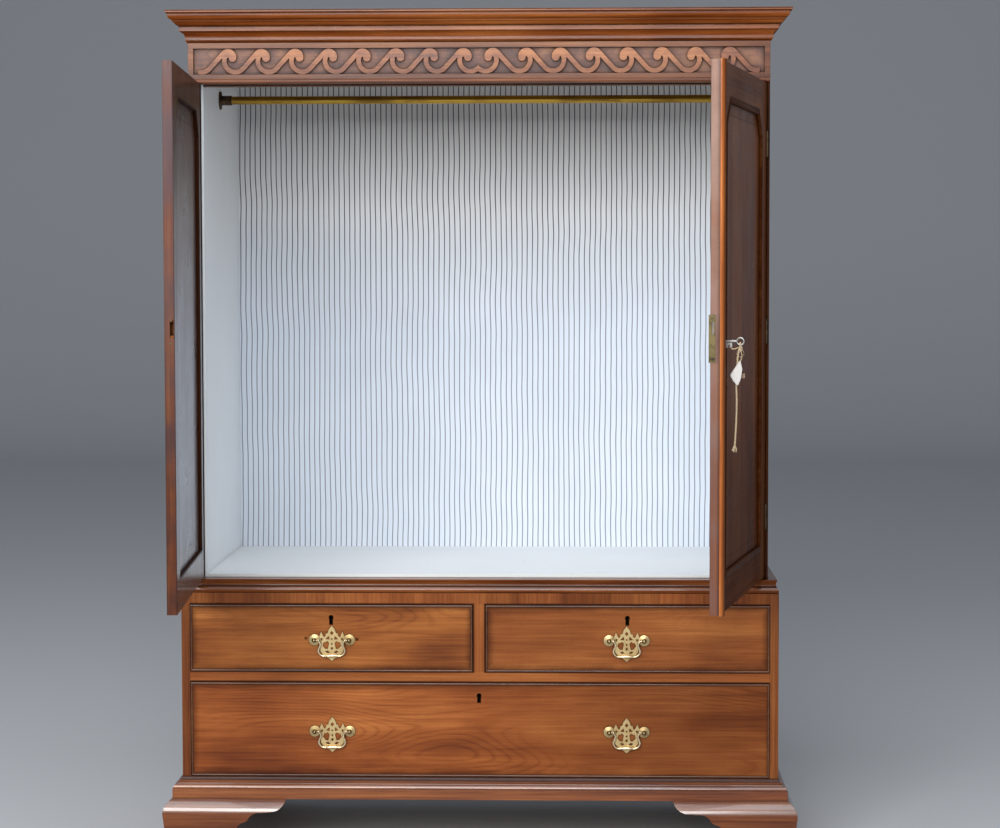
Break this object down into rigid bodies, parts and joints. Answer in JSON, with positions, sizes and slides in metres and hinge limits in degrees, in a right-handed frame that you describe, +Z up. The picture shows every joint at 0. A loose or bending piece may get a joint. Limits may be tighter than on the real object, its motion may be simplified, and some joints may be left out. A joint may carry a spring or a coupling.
{
  "type": "linen press",
  "caption": "Mahogany linen press: panelled doors with canted corners and a running scroll frieze above a chest of drawers on ogee bracket feet, with a hanging rail inside.",
  "frame": {"origin": "on the floor, at the middle of the width and of the depth that the carcass and the open doors take together; this is the plane of the chest's front", "axes": "+X to the right along the front, +Y from the front to the back, +Z up"},
  "size_m": [1.3452, 1.1689, 1.8052],
  "materials": {
    "mahogany": "polished reddish-brown mahogany",
    "pine": "bare aged pine",
    "oak": "bare oak drawer lining",
    "white_paint": "white painted board",
    "brass": "polished cast brass",
    "ticking": "white cotton cloth with dark stripes",
    "iron": "worn steel keys",
    "twine": "twisted straw-coloured twine",
    "tag": "folded blank white paper"
  },
  "bodies": {
    "carcass": {"chest_right_side": "mahogany", "chest_left_side": "mahogany", "chest_front_frame": "mahogany", "base_moulding": "mahogany", "waist_moulding": "mahogany", "front_feet": "mahogany", "back_feet": "mahogany", "case_right_side": "mahogany", "case_left_side": "mahogany", "case_floor_board": "mahogany", "head_rail": "mahogany", "frieze_board": "mahogany", "cornice": "mahogany", "frieze_border": "mahogany", "scroll_fret": "mahogany", "chest_top_board": "pine", "chest_bottom_board": "pine", "chest_back_boards": "pine", "dust_board": "pine", "drawer_partition": "pine", "drawer_runners": "pine", "case_top_board": "pine", "case_back_boards": "pine", "cornice_top_board": "pine", "floor_lining": "white_paint", "side_linings": "white_paint", "hanging_rail": "brass", "rail_sockets": "brass", "case_hinges": "brass", "back_cloth": "ticking"},
    "left_door": {"left_door_frame": "mahogany", "left_door_panel": "mahogany", "left_door_moulding": "mahogany", "left_door_leaves": "brass"},
    "right_door": {"right_door_frame": "mahogany", "right_door_panel": "mahogany", "right_door_moulding": "mahogany", "right_door_leaves": "brass", "meeting_bead": "mahogany", "door_lock": "brass"},
    "bolt": {"lock_bolt": "brass"},
    "key": {"door_keys": "iron", "key_string": "twine", "key_tag": "tag"},
    "left_drawer": {"left_drawer_front": "mahogany", "left_drawer_cockbead": "mahogany", "left_drawer_box": "oak", "left_drawer_brasses": "brass"},
    "left_drawer_bail": {"left_drawer_bail": "brass"},
    "right_drawer": {"right_drawer_front": "mahogany", "right_drawer_cockbead": "mahogany", "right_drawer_box": "oak", "right_drawer_brasses": "brass"},
    "right_drawer_bail": {"right_drawer_bail": "brass"},
    "long_drawer": {"long_drawer_front": "mahogany", "long_drawer_cockbead": "mahogany", "long_drawer_box": "oak", "long_drawer_brasses": "brass"},
    "long_drawer_left_bail": {"long_drawer_left_bail": "brass"},
    "long_drawer_right_bail": {"long_drawer_right_bail": "brass"}
  },
  "joints": [
    {"name": "left_door_swing", "type": "hinge", "parent": "carcass", "child": "left_door", "pos_m": [-0.6065, 0.0205, 1.1315], "axis": [0, 0, -1], "range_deg": [-86.3, 83.7]},
    {"name": "right_door_swing", "type": "hinge", "parent": "carcass", "child": "right_door", "pos_m": [0.6065, 0.0205, 1.1315], "axis": [0, 0, 1], "range_deg": [-77.7, 92.3]},
    {"name": "bolt_throw", "type": "slide", "parent": "right_door", "child": "bolt", "axis": [-0.213, -0.977, 0], "range_m": [0, 0.01]},
    {"name": "key_push", "type": "slide", "parent": "right_door", "child": "key", "axis": [-0.977, 0.213, 0], "range_m": [-0.025, 0.013]},
    {"name": "left_drawer_pull", "type": "slide", "parent": "carcass", "child": "left_drawer", "axis": [0, -1, 0], "range_m": [0, 0.4]},
    {"name": "left_drawer_bail_lift", "type": "hinge", "parent": "left_drawer", "child": "left_drawer_bail", "pos_m": [-0.313, -0.0088, 0.47675], "axis": [-1, 0, 0], "range_deg": [0, 95]},
    {"name": "right_drawer_pull", "type": "slide", "parent": "carcass", "child": "right_drawer", "axis": [0, -1, 0], "range_m": [0, 0.4]},
    {"name": "right_drawer_bail_lift", "type": "hinge", "parent": "right_drawer", "child": "right_drawer_bail", "pos_m": [0.313, -0.0088, 0.47675], "axis": [-1, 0, 0], "range_deg": [0, 95]},
    {"name": "long_drawer_pull", "type": "slide", "parent": "carcass", "child": "long_drawer", "axis": [0, -1, 0], "range_m": [0, 0.4]},
    {"name": "long_drawer_left_bail_lift", "type": "hinge", "parent": "long_drawer", "child": "long_drawer_left_bail", "pos_m": [-0.313, -0.0088, 0.281], "axis": [-1, 0, 0], "range_deg": [0, 95]},
    {"name": "long_drawer_right_bail_lift", "type": "hinge", "parent": "long_drawer", "child": "long_drawer_right_bail", "pos_m": [0.313, -0.0088, 0.281], "axis": [-1, 0, 0], "range_deg": [0, 95]}
  ]
}
